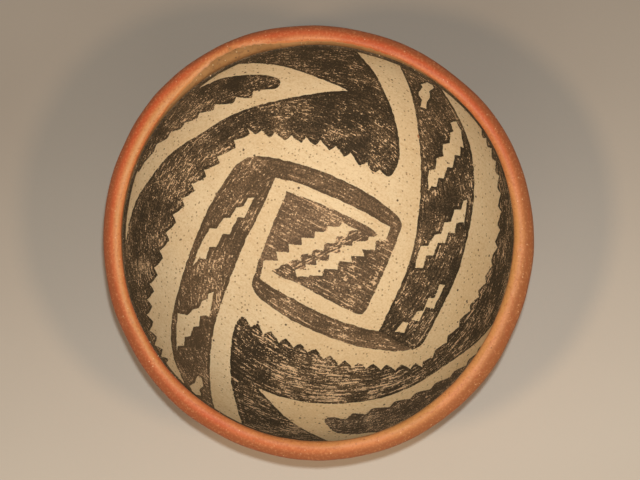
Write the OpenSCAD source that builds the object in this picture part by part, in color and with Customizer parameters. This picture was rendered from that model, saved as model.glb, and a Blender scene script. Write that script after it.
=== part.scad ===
// Hand-built pottery bowl with a burnished red outside and a black design on a cream inside.
// The clay is a round pat and rings of coil, lapped and scraped smooth. Two coats of slip lie
// on the clay, and the painted strokes and fields lie on the cream slip.
// Millimetres, +Z up, origin in the middle of the flat that the bowl stands on.
// The design is drawn in plan, in units of which 99 are the radius of the lower edge of the
// rim line. +X is to the right and +Y is up when the bowl is seen from above.

/* [Vessel] */
// Outer diameter at the lip
mouth_d = 170; // [155:1:240]
// Height from the standing flat to the top of the lip
height = 80; // [55:1:86]
// Thickness of the wall under the lip, both slips included
wall = 6.8; // [4:0.1:10]
// How far the rounded lip swells out over each side of the wall
lip_swell = 0.2; // [0.1:0.05:0.8]
// Thickness of the floor in the middle, the cream slip included
floor_t = 6.5; // [4:0.1:12]
// Diameter of the worn flat underneath
foot_d = 44; // [30:1:60]

/* [Clay coils] */
// Diameter of the pat that the bowl is started from
pat_d = 64; // [60:1:90]
// Height of the rim coil, from the middle of its lap to the top of the lip
rim_coil_h = 17; // [12:0.5:22]
// Angle between a lap joint and the square cut through the wall
lap_angle = 40; // [0:1:55]

/* [Slip] */
// Thickness of each coat of slip
slip_t = 0.4; // [0.3:0.05:0.8]
// Height above the flat at which the red slip has worn away
worn_h = 1.2; // [0.4:0.1:4]
// How far the cream slip stops below the middle of the lip
white_drop = 1.6; // [1.6:0.1:4]
// Height of the bare clay strip between the cream slip and the red slip on the lip
bare_strip = 3; // [2.5:0.1:4]

/* [Paint] */
// Thickness of the painted strokes
paint_t = 0.25; // [0.2:0.05:0.4]
// Width of the black line round the rim
rim_line_w = 2.5; // [1:0.1:5]
// Cream slip left above the rim line
line_margin = 0.5; // [0.3:0.1:2]
// Height of the teeth on the two wings
wing_tooth = 2.3; // [1:0.1:3]
// Height of the teeth on the two rim fields
rim_tooth = 1.7; // [0.8:0.1:2.4]

/* [Hidden] */
$fn = 180;

// The lip is round, and the wall meets it at the height of its middle
lip_r = wall / 2 + lip_swell;
lip_z = height - lip_r;
mid_r = mouth_d / 2 - lip_r;
wall_r = mid_r + wall / 2;
field_r = mid_r - wall / 2;

// The outside is a sphere through the top of the wall and the edge of the flat
foot_r = foot_d / 2;
outer_z = (wall_r * wall_r + lip_z * lip_z - foot_r * foot_r) / (2 * lip_z);

// The inside is a sphere through the top of the wall and the middle of the floor
depth = lip_z - floor_t;
inner_z = floor_t + (field_r * field_r + depth * depth) / (2 * depth);

// Heights of the edges on the inside, from the lip down
white_top = lip_z - white_drop;
line_top = white_top - line_margin;
line_bottom = line_top - rim_line_w;
red_edge = white_top + bare_strip;

// The unit of the design, from the radius of the inside at the lower edge of the rim line
field_units = 99;
line_r = sqrt(pow(wall_sphere(field_r, inner_z), 2) - pow(inner_z - line_bottom, 2));
unit = line_r / field_units;

// Lap joints fan out along the middle of the wall, by their angle from straight down
coil_count = 6;
mid_z = (outer_z + inner_z) / 2;
first_lap = asin(pat_d / 2 / mid_r);
last_lap = acos((mid_z - height + rim_coil_h) / mid_r);
lap_reach = 2 * max(wall, floor_t);

// How far the flanks of a tooth stand out half-way to its crest, as a share of its height
flank = 0.58;

// Steps between two points of a smooth curve
curve_steps = 3;

CLAY = "tan";
RED = "indianred";
CREAM = "wheat";
BLACK = "darkslategray";

// Curves, teeth and stairs of the painted outlines

// One point between b and c of a smooth curve past a, b, c and d
function between(a, b, c, d, t) =
    0.5 * (2 * b + (c - a) * t + (2 * a - 5 * b + 4 * c - d) * t * t
        + (3 * b - a - 3 * c + d) * t * t * t);

// A smooth curve through points p, with n steps from each point to the next
function smooth(p, n = curve_steps) = concat(
    [for (i = [0 : len(p) - 2], s = [0 : n - 1])
        between(p[max(i - 1, 0)], p[i], p[i + 1], p[min(i + 2, len(p) - 1)], s / n)],
    [p[len(p) - 1]]);

// One tooth from notch a up to notch b, to the left of the way from a to b. It is tall in
// millimetres, and its crest stands a share of the way along.
function tooth(a, b, tall, crest) =
    let (along = b - a, across = [-along[1], along[0]] / norm(along) * tall / unit)
    [a, a + along * crest / 2 + across * flank, a + along * crest + across,
        a + along * (1 + crest) / 2 + across * flank];

// A toothed edge past points p and up to the last of them, with two teeth from each point to the
// next. The height and the crest change evenly from those of the first tooth to those of the last.
function toothed(p, tall, crest) =
    let (notches = smooth(p, 2), last = len(notches) - 2)
    [for (i = [0 : last]) each tooth(notches[i], notches[i + 1],
        tall[0] + (tall[1] - tall[0]) * i / last, crest[0] + (crest[1] - crest[0]) * i / last)];

// Stairs: the same tread drawn from each of the given corners
function stairs(corners, tread) = [for (c = corners) each [c, c + tread]];

// Cross-sections, in the plane of the radius and the height

// Radius of the sphere with its middle at height z that has radius r at the top of the wall
function wall_sphere(r, z) = norm([r, lip_z - z]);

// The round lip, less a skin
module lip_2d(skin) {
    translate([mid_r, lip_z]) circle(lip_r - skin);
}

// Everything inside the outside of the wall, less a skin
module ball_2d(skin) {
    intersection() {
        translate([0, outer_z]) circle(wall_sphere(wall_r - skin, outer_z));
        square([mouth_d, lip_z]);
    }
}

// The hollow of the bowl, grown by a skin
module hollow_2d(skin) {
    intersection() {
        translate([0, inner_z]) circle(wall_sphere(field_r + skin, inner_z));
        square([mouth_d, height]);
    }
}

// The clay under both slips
module clay_2d() {
    difference() {
        ball_2d(slip_t);
        hollow_2d(slip_t);
    }
    lip_2d(slip_t);
}

// A coat of thickness t on the inside, from height z0 to height z1, grown outwards from skin
module inside_coat_2d(skin, t, z0, z1) {
    intersection() {
        difference() {
            hollow_2d(skin);
            hollow_2d(skin - t);
        }
        translate([0, z0]) square([mouth_d, z1 - z0]);
    }
}

// Two points on either side of the wall, on lap joint k. The inner end lies lower,
// because each coil is lapped down over the inside of the one before.
function lap_at(k) = first_lap + (last_lap - first_lap) * k / coil_count;
function lap_middle(k) = [mid_r * sin(lap_at(k)), mid_z - mid_r * cos(lap_at(k))];
function lap_way(k) = [sin(lap_at(k) + lap_angle), -cos(lap_at(k) + lap_angle)];
function lap_outer(k) = lap_middle(k) + lap_way(k) * lap_reach;
function lap_inner(k) = lap_middle(k) - lap_way(k) * lap_reach;

// Clay pieces

module ring_of_clay(edges) {
    color(CLAY) rotate_extrude() intersection() {
        clay_2d();
        polygon(edges);
    }
}

module base_pat() {
    ring_of_clay([[0, -height], [lap_outer(0)[0], -height], lap_outer(0), lap_inner(0),
        [0, lap_inner(0)[1]]]);
}

module wall_coil(k) {
    ring_of_clay([lap_outer(k - 1), lap_outer(k), lap_inner(k), lap_inner(k - 1)]);
}

module rim_coil() {
    top = height + lip_r;
    ring_of_clay([lap_outer(coil_count), [mouth_d, top], [lap_inner(coil_count)[0], top],
        lap_inner(coil_count)]);
}

// Coats of slip

// On the outside and over the lip, down to the bare strip, worn off the flat
module red_outer_slip() {
    color(RED) rotate_extrude() difference() {
        union() {
            ball_2d(0);
            lip_2d(0);
        }
        ball_2d(slip_t);
        lip_2d(slip_t);
        square([mouth_d, worn_h]);
        translate([0, lip_z - lip_r]) square([mid_r, red_edge - lip_z + lip_r]);
    }
}

module white_inner_slip() {
    color(CREAM) rotate_extrude() inside_coat_2d(slip_t, slip_t, 0, white_top);
}

// Painted pieces

// A painted outline, in units of the design
module outline(points) {
    polygon(points * unit);
}

// The paint of an outline, as it lies on the cream slip below the rim line
module painted() {
    color(BLACK) intersection() {
        rotate_extrude() inside_coat_2d(0, paint_t, 0, line_bottom);
        linear_extrude(height) children();
    }
}

module rim_line() {
    color(BLACK) rotate_extrude() inside_coat_2d(0, paint_t, line_bottom, line_top);
}

// Corners that two painted pieces share, so that the strokes meet edge to edge
north_mitre_out = [-41.5, 49.2];
north_mitre_in = [-28.8, 39.4];
south_mitre_out = [45, -53];
south_mitre_in = [27, -43];
north_end_out = [36.2, 6];
north_end_in = [30.2, 6.2];
south_end_out = [-38, -5];
south_end_in = [-35.5, -4.8];
zigzag_east_top = [17, 11];
zigzag_east_low = [20.5, 8.5];
zigzag_west_top = [-23, -6.2];
zigzag_west_low = [-19, -9.8];

// The bar over the centre panel, which turns down its right side
module north_bar() {
    painted() outline(concat(
        smooth([north_mitre_out, [-35.6, 49.9], [-28, 49.2], [-12, 45.6], [4, 39.7], [20, 31.6],
            [30, 24.5], [36, 19.3], [38.8, 15], [38.2, 11.5], north_end_out]),
        smooth([north_end_in, [33, 13.3]]),
        smooth([[29.5, 15], [18.5, 21.5], [6, 27.7], [-6, 32.7], [-18, 37.3], north_mitre_in])));
}

// The bar under the centre panel, which turns up its left side
module south_bar() {
    painted() outline(concat(
        smooth([south_mitre_out, [38, -53.7], [30, -53.3], [14, -50.4], [-4, -44.2], [-20, -36.8],
            [-33, -28.2], [-38.5, -23.5], [-41.2, -19], [-41, -15.5], south_end_out]),
        smooth([south_end_in, [-37.5, -14.6]]),
        smooth([[-32, -18.6], [-20.5, -25], [-7.5, -31.8], [6, -37.3], [20, -41.7], south_mitre_in])));
}

// The band that runs from the north bar down the left side to the rim, with cream lightning in it
module west_lightning_band() {
    painted() difference() {
        outline(concat(
            smooth([north_mitre_out, [-48, 45], [-54, 36.8], [-62, 24], [-69, 8], [-73.6, -6],
                [-77, -20], [-79.2, -33], [-79, -46], [-76, -58], [-70.5, -68], [-62, -80],
                [-58, -86]]),
            smooth([[-48, -91], [-55, -80], [-58.4, -70], [-60.2, -57], [-60, -45], [-58.7, -35.7],
                [-55.7, -24.3], [-50.6, -8.6], [-44.9, 6.2], [-40.2, 15.5], [-34.8, 26.4],
                north_mitre_in])));
        outline(concat(
            stairs([[-39.7, 29], [-45.6, 24], [-52.3, 18], [-59.5, 12]], [-3.4, -0.4]),
            [[-66.4, 5], [-68.7, 0], [-71.1, -9]],
            stairs([[-68, -4.6], [-62.9, 2], [-56.3, 8.9], [-48.6, 18]], [3.3, 0])));
        outline(concat(
            stairs([[-60.5, -22], [-63.4, -26], [-67.8, -31]], [-2.6, -1]),
            [[-72.8, -35], [-77.2, -34.2], [-77.2, -42], [-76.3, -50], [-75.4, -55]],
            stairs([[-75.4, -51.8], [-72.9, -46.8], [-69.6, -41.3], [-66.6, -35.4]], [2.6, 0.5]),
            [[-62.3, -35.5]]));
        outline([[-64.5, -67], [-62.5, -68], [-61, -72], [-62, -74], [-60.5, -77], [-63.5, -76],
            [-66.5, -72], [-65, -70.5]]);
    }
}

// The band that runs from the south bar up the right side to the rim, with cream lightning in it
module east_lightning_band() {
    painted() difference() {
        outline(concat(
            smooth([south_mitre_out, [49, -51.6], [52, -48], [58, -37], [65, -23.5], [70, -11.5],
                [73.5, 2], [76, 14], [77.4, 28], [77, 41], [74.5, 53.5], [69.5, 65], [63, 75],
                [56, 84]]),
            smooth([[36, 97], [42, 87.5], [46, 77], [48.4, 62], [49.5, 48], [49.3, 33], [48, 18],
                [45.5, 2], [40.5, -14], [33, -30], south_mitre_in])));
        outline([[54.2, 81.6], [50.8, 81.6], [51.6, 80.2], [49.5, 78.7], [49.4, 77.2], [50.9, 75.2],
            [49.9, 72.1], [53, 71], [53.5, 73.9], [55.3, 75.4], [55, 78], [57.5, 78.8], [56.7, 80]]);
        outline(concat(
            [[68.6, 63]],
            stairs([[67, 63.5], [66.8, 59]], [-1.6, -0.4]),
            stairs([[64.6, 54], [61.2, 47.8], [57.2, 42]], [-3.4, -0.5]),
            [[53, 38], [53.4, 31]],
            stairs([[55, 33.4], [58.8, 37.3], [63.6, 42.2], [67.5, 47.6]], [2.6, -0.4]),
            [[70.4, 51.4], [72, 50.8], [70.6, 59]]));
        outline(concat(
            [[73.8, 25], [72, 25]],
            stairs([[70.6, 20.6], [65.4, 14.6], [60, 8.4], [53, 2.6]], [-3.5, 0]),
            [[48, -0.5], [46.2, -9]],
            stairs([[47, -9.2], [52.4, -2.7], [58.6, 3.7], [64, 8.8], [68.4, 13.8]], [3.6, -0.2]),
            [[72.4, 11]]));
        outline(concat(
            [[62.8, -19.4], [60.2, -18.2]],
            stairs([[57.2, -25.5], [51, -32.4]], [-3.4, -0.2]),
            stairs([[44.6, -37.2], [52.8, -30.6]], [4, -0.8])));
        outline([[43, -38.7], [39.8, -38], [35.6, -43.5], [40.6, -44]]);
    }
}

// The stepped field in the upper left of the centre panel
module northwest_step_panel() {
    painted() outline(concat(
        smooth([[-22.8, 32.3], [-5, 26], [11.5, 18.3], [22, 12.5], [25.5, 9.4]]),
        [[24, 8.4], zigzag_east_low, zigzag_east_top, [6.5, 16]],
        stairs([[5.2, 14], [-1.6, 11.2], [-8.8, 7.8], [-15.6, 4.2], [-22.2, 0.2], [-28.3, -4.4]],
            [-6.6, 0]),
        [south_end_in],
        smooth([south_end_out, [-34.5, 4.5], [-30, 16.2], [-25, 27]])));
}

// The stepped field in the lower right of the centre panel
module southeast_step_panel() {
    painted() outline(concat(
        smooth([[17.6, -33.4], [14, -33], [6, -29.2], [-6, -23], [-18, -16.5], [-26.8, -13.2],
            [-31, -10]]),
        [[-27.6, -9], [-26.2, -7.2], zigzag_west_top, zigzag_west_low],
        stairs([[-17.8, -13], [-10.8, -12.4], [-3, -9], [5, -5], [11.8, -2], [17.9, 1.4]], [6.6, -0.4]),
        [[25, 5.6], north_end_in],
        smooth([north_end_out, [32.2, -4], [26, -18], [19.6, -31]])));
}

// The stepped line between the two fields
module centre_zigzag() {
    painted() outline(concat(
        [zigzag_west_low, zigzag_west_top],
        stairs([[-20.6, -4.4], [-15.4, -1], [-8.8, 1.4], [-2.8, 4.9], [3.6, 8.5], [10.6, 11.6]],
            [5, 0]),
        [zigzag_east_top, zigzag_east_low],
        stairs([[20.2, 5.8], [18, 5.8], [11.9, 3.7], [5.2, -0.4], [-1.6, -4.4], [-7.8, -6.8],
            [-13.2, -9.2]], [-5.4, 0.1])));
}

// The wide field that sweeps from its round tip over the top and down the left side along the rim,
// with teeth on its inner edge and a cream crescent cut into its back
module north_serrated_wing() {
    painted() outline(concat(
        smooth([[12, 103], [20, 96], [26.5, 89.5], [31, 81.5], [35, 72], [37.5, 62], [38.3, 53],
            [37.3, 46.5], [34.5, 41.5], [31.5, 40], [28.7, 42]]),
        toothed([[27.2, 43.4], [12.2, 52.5], [-3.8, 58.9], [-19.1, 60.8], [-34.3, 62.6]],
            [1.2, 0.85] * wing_tooth, [0.28, 0.38]),
        tooth([-34.3, 62.6], [-41.4, 63.4], 0.7 * wing_tooth, 0.4),
        toothed([[-41.4, 63.4], [-57, 48.7], [-70.1, 34.1], [-79.8, 17.6], [-85.9, -1.6],
            [-89.7, -19.4], [-89.5, -35.8], [-84.3, -51.4], [-77.9, -61.1]], [1, 0.5] * wing_tooth,
            [0.15, 0.55]),
        [[-77.9, -61.1], [-84, -72], [-108, -10]],
        smooth([[-100, -9], [-98.4, 3], [-96.7, 13.6], [-92.3, 26.7], [-81.8, 43.3], [-73.7, 51.5],
            [-64.1, 58.4], [-54.1, 65.2], [-44, 70.6], [-33.9, 74.5], [-22, 77.8], [-10, 80.2], [3, 81.9],
            [12, 82]]),
        smooth([[11, 82.8], [5, 85.3], [-10, 89.8], [-22, 91.8], [-34, 91.4], [-48, 88]]),
        [[-50, 96], [-20, 106]]));
}

// The same sweep from below, round the right side
module south_serrated_wing() {
    painted() outline(concat(
        smooth([[-30, -100], [-39.5, -90], [-44.5, -81], [-48.5, -70], [-50.3, -58], [-50.3, -47],
            [-49, -39.5], [-45.6, -35.4], [-43, -38]]),
        toothed([[-41.2, -40.7], [-26.3, -49.2], [-10.8, -53.9], [5.7, -60.8], [20.7, -62.7],
            [36.1, -63.7], [50.8, -62.5]], [1.1, 0.8] * wing_tooth, [0.28, 0.45]),
        toothed([[50.8, -62.5], [64, -50], [76.6, -33.4], [85, -19], [90.3, -1], [91.6, 17], [90, 34.4],
            [86, 47.4], [81, 56]], [0.6, 0.4] * wing_tooth, [0.3, 0.4]),
        [[81, 56], [90, 62], [110, 10]],
        smooth([[101, -5], [98.6, -13.6], [96.1, -25], [92, -37], [83, -47.9], [74.3, -55],
            [63.6, -61.8], [48.6, -70.7], [34.3, -76.4], [20, -79.5], [5, -80.8], [-10, -80],
            [-25, -76.7], [-34.5, -73.3]]),
        smooth([[-34, -74.2], [-30, -78.5], [-20, -87.3], [-10, -93.3], [0, -97.2], [9, -100]]),
        [[8, -106], [-20, -106]]));
}

// The small field under the rim in the upper left
module northwest_rim_field() {
    painted() outline(concat(
        smooth([[-72, 71], [-60, 78.2], [-50, 83.5], [-40, 86.3], [-31, 87.4], [-25, 87],
            [-22.4, 86], [-22.6, 84.5], [-25, 82.4], [-31, 81.6]]),
        toothed([[-36.5, 80.2], [-55.2, 72.8], [-70, 62.8], [-82.8, 51], [-93.4, 33.2]],
            [1.15, 0.1] * rim_tooth, [0.22, 0.4]),
        [[-93.4, 33.2], [-104, 34], [-84, 72]]));
}

// The small field under the rim in the lower right
module southeast_rim_field() {
    painted() outline(concat(
        smooth([[40, -97], [28, -94.4], [20, -95.1], [12, -95.2], [6.5, -94.3], [2.8, -92],
            [0.4, -89], [1, -88], [4, -87.5], [9, -88.2]]),
        toothed([[12.5, -88.2], [34, -82.6], [55.6, -74], [75, -62.4], [84, -52]], [1, 0.5] * rim_tooth,
            [0.25, 0.35]),
        [[84, -52], [95, -50], [60, -90]]));
}

base_pat();
for (k = [1 : coil_count])
    wall_coil(k);
rim_coil();
red_outer_slip();
white_inner_slip();
rim_line();
north_bar();
south_bar();
west_lightning_band();
east_lightning_band();
northwest_step_panel();
southeast_step_panel();
centre_zigzag();
north_serrated_wing();
south_serrated_wing();
northwest_rim_field();
southeast_rim_field();
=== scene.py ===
# A hand-built pottery bowl: lapped coils of clay, a burnished red slip outside, a cream slip inside
# and a black interlocking design brushed on the cream. Lengths are in millimetres until a mesh is made.
import math

import bmesh
import bpy
import numpy as np
from mathutils import Matrix, Vector
from mathutils.geometry import delaunay_2d_cdt
from mathutils.kdtree import KDTree


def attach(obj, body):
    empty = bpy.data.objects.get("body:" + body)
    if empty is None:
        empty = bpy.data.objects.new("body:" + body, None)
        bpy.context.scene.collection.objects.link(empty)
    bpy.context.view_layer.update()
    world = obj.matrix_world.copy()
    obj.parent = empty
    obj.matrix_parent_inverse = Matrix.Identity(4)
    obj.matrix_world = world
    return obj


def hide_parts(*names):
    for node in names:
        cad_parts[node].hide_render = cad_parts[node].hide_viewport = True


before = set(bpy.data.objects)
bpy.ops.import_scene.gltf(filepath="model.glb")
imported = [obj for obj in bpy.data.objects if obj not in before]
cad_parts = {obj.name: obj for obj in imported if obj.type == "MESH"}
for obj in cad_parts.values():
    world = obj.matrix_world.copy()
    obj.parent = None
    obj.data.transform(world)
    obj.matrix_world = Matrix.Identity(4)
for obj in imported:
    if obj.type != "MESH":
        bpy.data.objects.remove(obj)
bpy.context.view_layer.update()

MM = 0.001
TAU = 2 * math.pi
# Least length to divide by
TINY = 1e-9

# Sizes of the bowl, as in the part's source
MOUTH_D = 170.0
HEIGHT = 80.0
WALL = 6.8
LIP_SWELL = 0.2
FLOOR_T = 6.5
FOOT_D = 44.0
SLIP_T = 0.4
WORN_H = 1.2
WHITE_DROP = 1.6
PAINT_T = 0.25
RIM_LINE_W = 2.5
LINE_MARGIN = 0.5
FIELD_UNITS = 99.0
COIL_COUNT = 6

# Section of the wall: the outside and the inside are spheres, and the lip is a circle
LIP_R = WALL / 2 + LIP_SWELL
LIP_Z = HEIGHT - LIP_R
MID_R = MOUTH_D / 2 - LIP_R
WALL_R = MID_R + WALL / 2
FIELD_R = MID_R - WALL / 2
FOOT_R = FOOT_D / 2
OUTER_Z = (WALL_R ** 2 + LIP_Z ** 2 - FOOT_R ** 2) / (2 * LIP_Z)
INNER_Z = (FIELD_R ** 2 + LIP_Z ** 2 - FLOOR_T ** 2) / (2 * (LIP_Z - FLOOR_T))
OUTER_R = math.hypot(WALL_R, LIP_Z - OUTER_Z)
INNER_R = math.hypot(FIELD_R, LIP_Z - INNER_Z)
CLAY_OUT_R = math.hypot(WALL_R - SLIP_T, LIP_Z - OUTER_Z)
CLAY_IN_R = math.hypot(FIELD_R + SLIP_T, LIP_Z - INNER_Z)
CLAY_LIP_R = LIP_R - SLIP_T
WHITE_TOP = LIP_Z - WHITE_DROP
LINE_TOP = WHITE_TOP - LINE_MARGIN
LINE_BOTTOM = LINE_TOP - RIM_LINE_W
UNIT = math.sqrt(INNER_R ** 2 - (INNER_Z - LINE_BOTTOM) ** 2) / FIELD_UNITS
# Angles on the lip's circle between which it meets the outside and the inside of the wall
OUTER_MEET = (-50, 0)
INNER_MEET = (180, 230)

# The hand-made roundness of the bowl: swings of the radius as (share, times round, peak in degrees)
INNER_SWINGS = [(0.0095, 1, 128), (0.005, 2, 93), (0.009, 3, 28), (0.004, 4, 26)]
OUTER_SWINGS = [(0.0034, 0, 0), (0.0153, 1, 136), (0.0087, 2, -62), (0.006, 3, 17), (0.003, 4, 30)]
# How far the crest of the lip leans in over the bowl, and the power by which the lean grows with height
LIP_LEAN = 1.1
LEAN_POWER = 1.5
# How much fuller the lip is on its inner side, in millimetres, and the heights about the middle of the lip
# between which this sets in
LIP_FULLER = [(0.35, 0, 0), (0.4, 1, -30)]
FULLER_FROM = (LIP_Z - 2.2, LIP_Z + 0.5)
# Swings of the height of the rim, in millimetres, and the power by which they grow with height
RIM_SWINGS = [(0.25, 2, 40), (0.18, 3, 100), (0.08, 7, 20)]
RIM_POWER = 4
# Marks of scraping: depth in millimetres and share of the radius from one hollow to the next. Outside,
# the hollows are longer round the bowl than up and down.
SCRAPE_IN = [(0.16, 0.42), (0.03, 0.11)]
SCRAPE_OUT = [(0.22, 0.38), (0.06, 0.14)]
SCRAPE_ROUND = 2.5
# Below this height a point belongs to the flat that the bowl stands on
FLAT_H = 0.01
# First seeds of the ripples, and the shortest and longest of them as shares of their mean length
SEED_IN, SEED_OUT, SEED_RED, SEED_CREAM, SEED_EDGE, SEED_LINE = 11, 21, 31, 41, 51, 61
LENGTH_SPREAD = (0.7, 1.4)


def waves(points, length, seed, count=24):
    """Smooth seeded ripple over points, mostly between -1 and 1"""
    rng = np.random.default_rng(seed)
    ways = rng.normal(size=(count, points.shape[1]))
    ways /= np.linalg.norm(ways, axis=1)[:, None] * length * rng.uniform(*LENGTH_SPREAD, (count, 1))
    angles = TAU * (points @ ways.T) + rng.uniform(0, TAU, count)
    return np.sin(angles).sum(1) * 0.5 * math.sqrt(2 / count)


def ripples(points, sizes, seed):
    """Sum of ripples over points, given as (size, length)"""
    return sum(size * waves(points, length, seed + k) for k, (size, length) in enumerate(sizes))


def swing(angles, swings):
    """Sum of swings round the bowl"""
    return sum(size * np.cos(times * (angles - math.radians(peak))) for size, times, peak in swings)


def ease(low, high, value):
    """Smooth step from 0 at low to 1 at high"""
    share = np.clip((value - low) / (high - low), 0, 1)
    return share * share * (3 - 2 * share)


def shape(points):
    """Moves points of the true round bowl to where they are on the hand-made one"""
    height = points[:, 2]
    round_r = np.hypot(points[:, 0], points[:, 1])
    angles = np.arctan2(points[:, 1], points[:, 0])
    inward = points - [0, 0, INNER_Z]
    outward = points - [0, 0, OUTER_Z]
    in_dist = np.linalg.norm(inward, axis=1)
    out_dist = np.linalg.norm(outward, axis=1)
    in_gap, out_gap = in_dist - INNER_R, OUTER_R - out_dist
    through = np.clip(in_gap / np.maximum(in_gap + out_gap, TINY), 0, 1)
    inward /= in_dist[:, None]
    outward /= out_dist[:, None]
    dent_in = ripples(inward, SCRAPE_IN, SEED_IN) * (1 - through)
    dent_out = ripples(outward * [1, 1, SCRAPE_ROUND], SCRAPE_OUT, SEED_OUT) * through
    moved = points + inward * dent_in[:, None] + outward * dent_out[:, None]
    lean = LIP_LEAN * np.clip((height - LIP_Z) / LIP_R, 0, 1) ** LEAN_POWER
    fuller = swing(angles, LIP_FULLER) * ease(*FULLER_FROM, height) * (1 - through)
    moved[:, :2] *= (1 - (lean + fuller) / np.maximum(round_r, 1))[:, None]
    stretch = ((1 - through) * swing(angles, INNER_SWINGS) * (round_r / FIELD_R) ** 2
               + through * swing(angles, OUTER_SWINGS) * (round_r / WALL_R) ** 2)
    moved[:, :2] *= 1 + stretch[:, None]
    moved[:, 2] += swing(angles, RIM_SWINGS) * np.clip(height / HEIGHT, 0, 1) ** RIM_POWER
    moved[:, 2] = np.where(height < FLAT_H, 0, np.maximum(moved[:, 2], 0))
    return moved


def make_piece(name, node, material, points, faces, attributes, sharp=50):
    """Makes a closed mesh that stands for one node of the part"""
    mesh = bpy.data.meshes.new(name)
    mesh.from_pydata((shape(points) * MM).tolist(), [], faces)
    made = bmesh.new()
    made.from_mesh(mesh)
    bmesh.ops.recalc_face_normals(made, faces=made.faces)
    made.to_mesh(mesh)
    made.free()
    for key, values in attributes.items():
        kind, field = ("FLOAT_VECTOR", "vector") if values.ndim == 2 else ("FLOAT", "value")
        mesh.attributes.new(key, kind, "POINT").data.foreach_set(field, values.astype(np.float32).ravel())
    mesh.shade_smooth()
    mesh.set_sharp_from_angle(angle=math.radians(sharp))
    mesh.materials.append(material)
    piece = bpy.data.objects.new(name, mesh)
    bpy.context.scene.collection.objects.link(piece)
    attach(piece, "root")
    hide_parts(node)


# Sections and turning

def round_degrees(turns):
    """Even angles round the bowl"""
    return 360 * np.arange(turns) / turns


def ring_points(degrees):
    """Points of a circle of radius 1"""
    return np.stack([np.cos(np.radians(degrees)), np.sin(np.radians(degrees))], 1)


def sphere_arc(centre_z, radius, z_from, z_to, count):
    """Radii and heights along the lower half of a sphere"""
    low, high = (np.arccos((centre_z - np.asarray(z, float)) / radius) for z in (z_from, z_to))
    phi = np.linspace(low, high, count, axis=-1)
    return np.stack([radius * np.sin(phi), centre_z - radius * np.cos(phi)], -1)


def lip_arc(radius, start, end, count):
    """Radii and heights along the lip's circle, between two angles in degrees"""
    angles = np.radians(np.linspace(start, end, count, axis=-1))
    return np.stack([MID_R + radius * np.cos(angles), LIP_Z + radius * np.sin(angles)], -1)


def lip_meets(radius, centre_z, sphere_r, low, high, tries=4001):
    """Angle in degrees at which the lip's circle crosses a sphere of the wall"""
    angles = np.linspace(low, high, tries)
    at = lip_arc(radius, low, high, tries)
    return angles[np.argmin(np.abs(np.hypot(at[:, 0], at[:, 1] - centre_z) - sphere_r))]


def revolve(sections, closed):
    """Points and faces of sections set round the axis, and which of the sections' points they use"""
    turns, count, _ = sections.shape
    angles = TAU * np.arange(turns) / turns
    points = np.stack([sections[..., 0] * np.cos(angles)[:, None],
                       sections[..., 0] * np.sin(angles)[:, None], sections[..., 1]], -1).reshape(-1, 3)
    index = np.arange(turns * count).reshape(turns, count)
    if not closed:
        index[:, 0], index[:, -1] = index[0, 0], index[0, -1]
    used, index = np.unique(index, return_inverse=True)
    index = index.reshape(turns, count)
    if closed:
        index = np.concatenate([index, index[:, :1]], 1)
    ahead = np.roll(index, -1, 0)
    quads = np.stack([index[:, :-1], ahead[:, :-1], ahead[:, 1:], index[:, 1:]], -1).reshape(-1, 4)
    return points[used], [tuple(dict.fromkeys(quad)) for quad in quads.tolist()], used


def on_both_faces(values, used):
    """Values of a coat's front, repeated on its back, for the points that a revolved mesh uses"""
    return np.concatenate([values, values[:, ::-1]], 1).reshape(-1, *values.shape[2:])[used]


def node_points(node):
    """Vertices of a node of the part"""
    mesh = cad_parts[node].data
    at = np.zeros(len(mesh.vertices) * 3)
    mesh.vertices.foreach_get("co", at)
    return at.reshape(-1, 3) / MM


def heights_on(node, centre_z, radius, near=0.04):
    """Lowest and highest point of a node on a sphere of the wall"""
    at = node_points(node)
    gap = np.hypot(np.hypot(at[:, 0], at[:, 1]), at[:, 2] - centre_z) - radius
    found = at[np.abs(gap) < near, 2]
    return found.min(), found.max()


# Clay

# Steps round the bowl, along each face, across a joint and over the lip, and the angle in degrees from which
# an edge of the clay stays sharp
CLAY_TURNS = 240
ARC_STEPS = 22
JOINT_STEPS = 8
RIM_STEPS = 40
CLAY_SHARP = 35


def joint(start, end):
    """Straight lap joint between two corners, without the corners"""
    return np.linspace(start, end, JOINT_STEPS)[1:-1]


def clay_piece(node, material):
    """The base pat, a wall coil or the rim coil, with the lap joints of the part"""
    in_low, in_high = heights_on(node, INNER_Z, CLAY_IN_R)
    out_low, out_high = heights_on(node, OUTER_Z, CLAY_OUT_R)
    if node == "rim_coil":
        start = lip_meets(CLAY_LIP_R, INNER_Z, CLAY_IN_R, *INNER_MEET)
        end = lip_meets(CLAY_LIP_R, OUTER_Z, CLAY_OUT_R, *OUTER_MEET)
        top = lip_arc(CLAY_LIP_R, start, end, RIM_STEPS)
        in_high, out_high = top[0, 1], top[-1, 1]
    inside_arc = sphere_arc(INNER_Z, CLAY_IN_R, in_low, in_high, ARC_STEPS)
    outside_arc = sphere_arc(OUTER_Z, CLAY_OUT_R, out_high, out_low, ARC_STEPS)
    upper = top[1:-1] if node == "rim_coil" else joint(inside_arc[-1], outside_arc[0])
    if node == "base_pat":
        inside_arc[0, 0] = 0
        lower = np.linspace(outside_arc[-1], [0, 0], JOINT_STEPS)[1:]
    else:
        lower = joint(outside_arc[-1], inside_arc[0])
    section = np.concatenate([inside_arc, upper, outside_arc, lower])
    points, faces, _ = revolve(np.repeat(section[None], CLAY_TURNS, 0), node != "base_pat")
    make_piece(node + "_clay", node, material, points, faces, {}, sharp=CLAY_SHARP)


# Red slip

# Steps round the bowl, up the wall and over the lip
SKIN_TURNS = 480
SKIN_STEPS = 70
LIP_STEPS = 44
# Over this length a coat thins out to its end, where this share of its thickness is left
FEATHER = 1.6
THIN = 0.06
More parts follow.
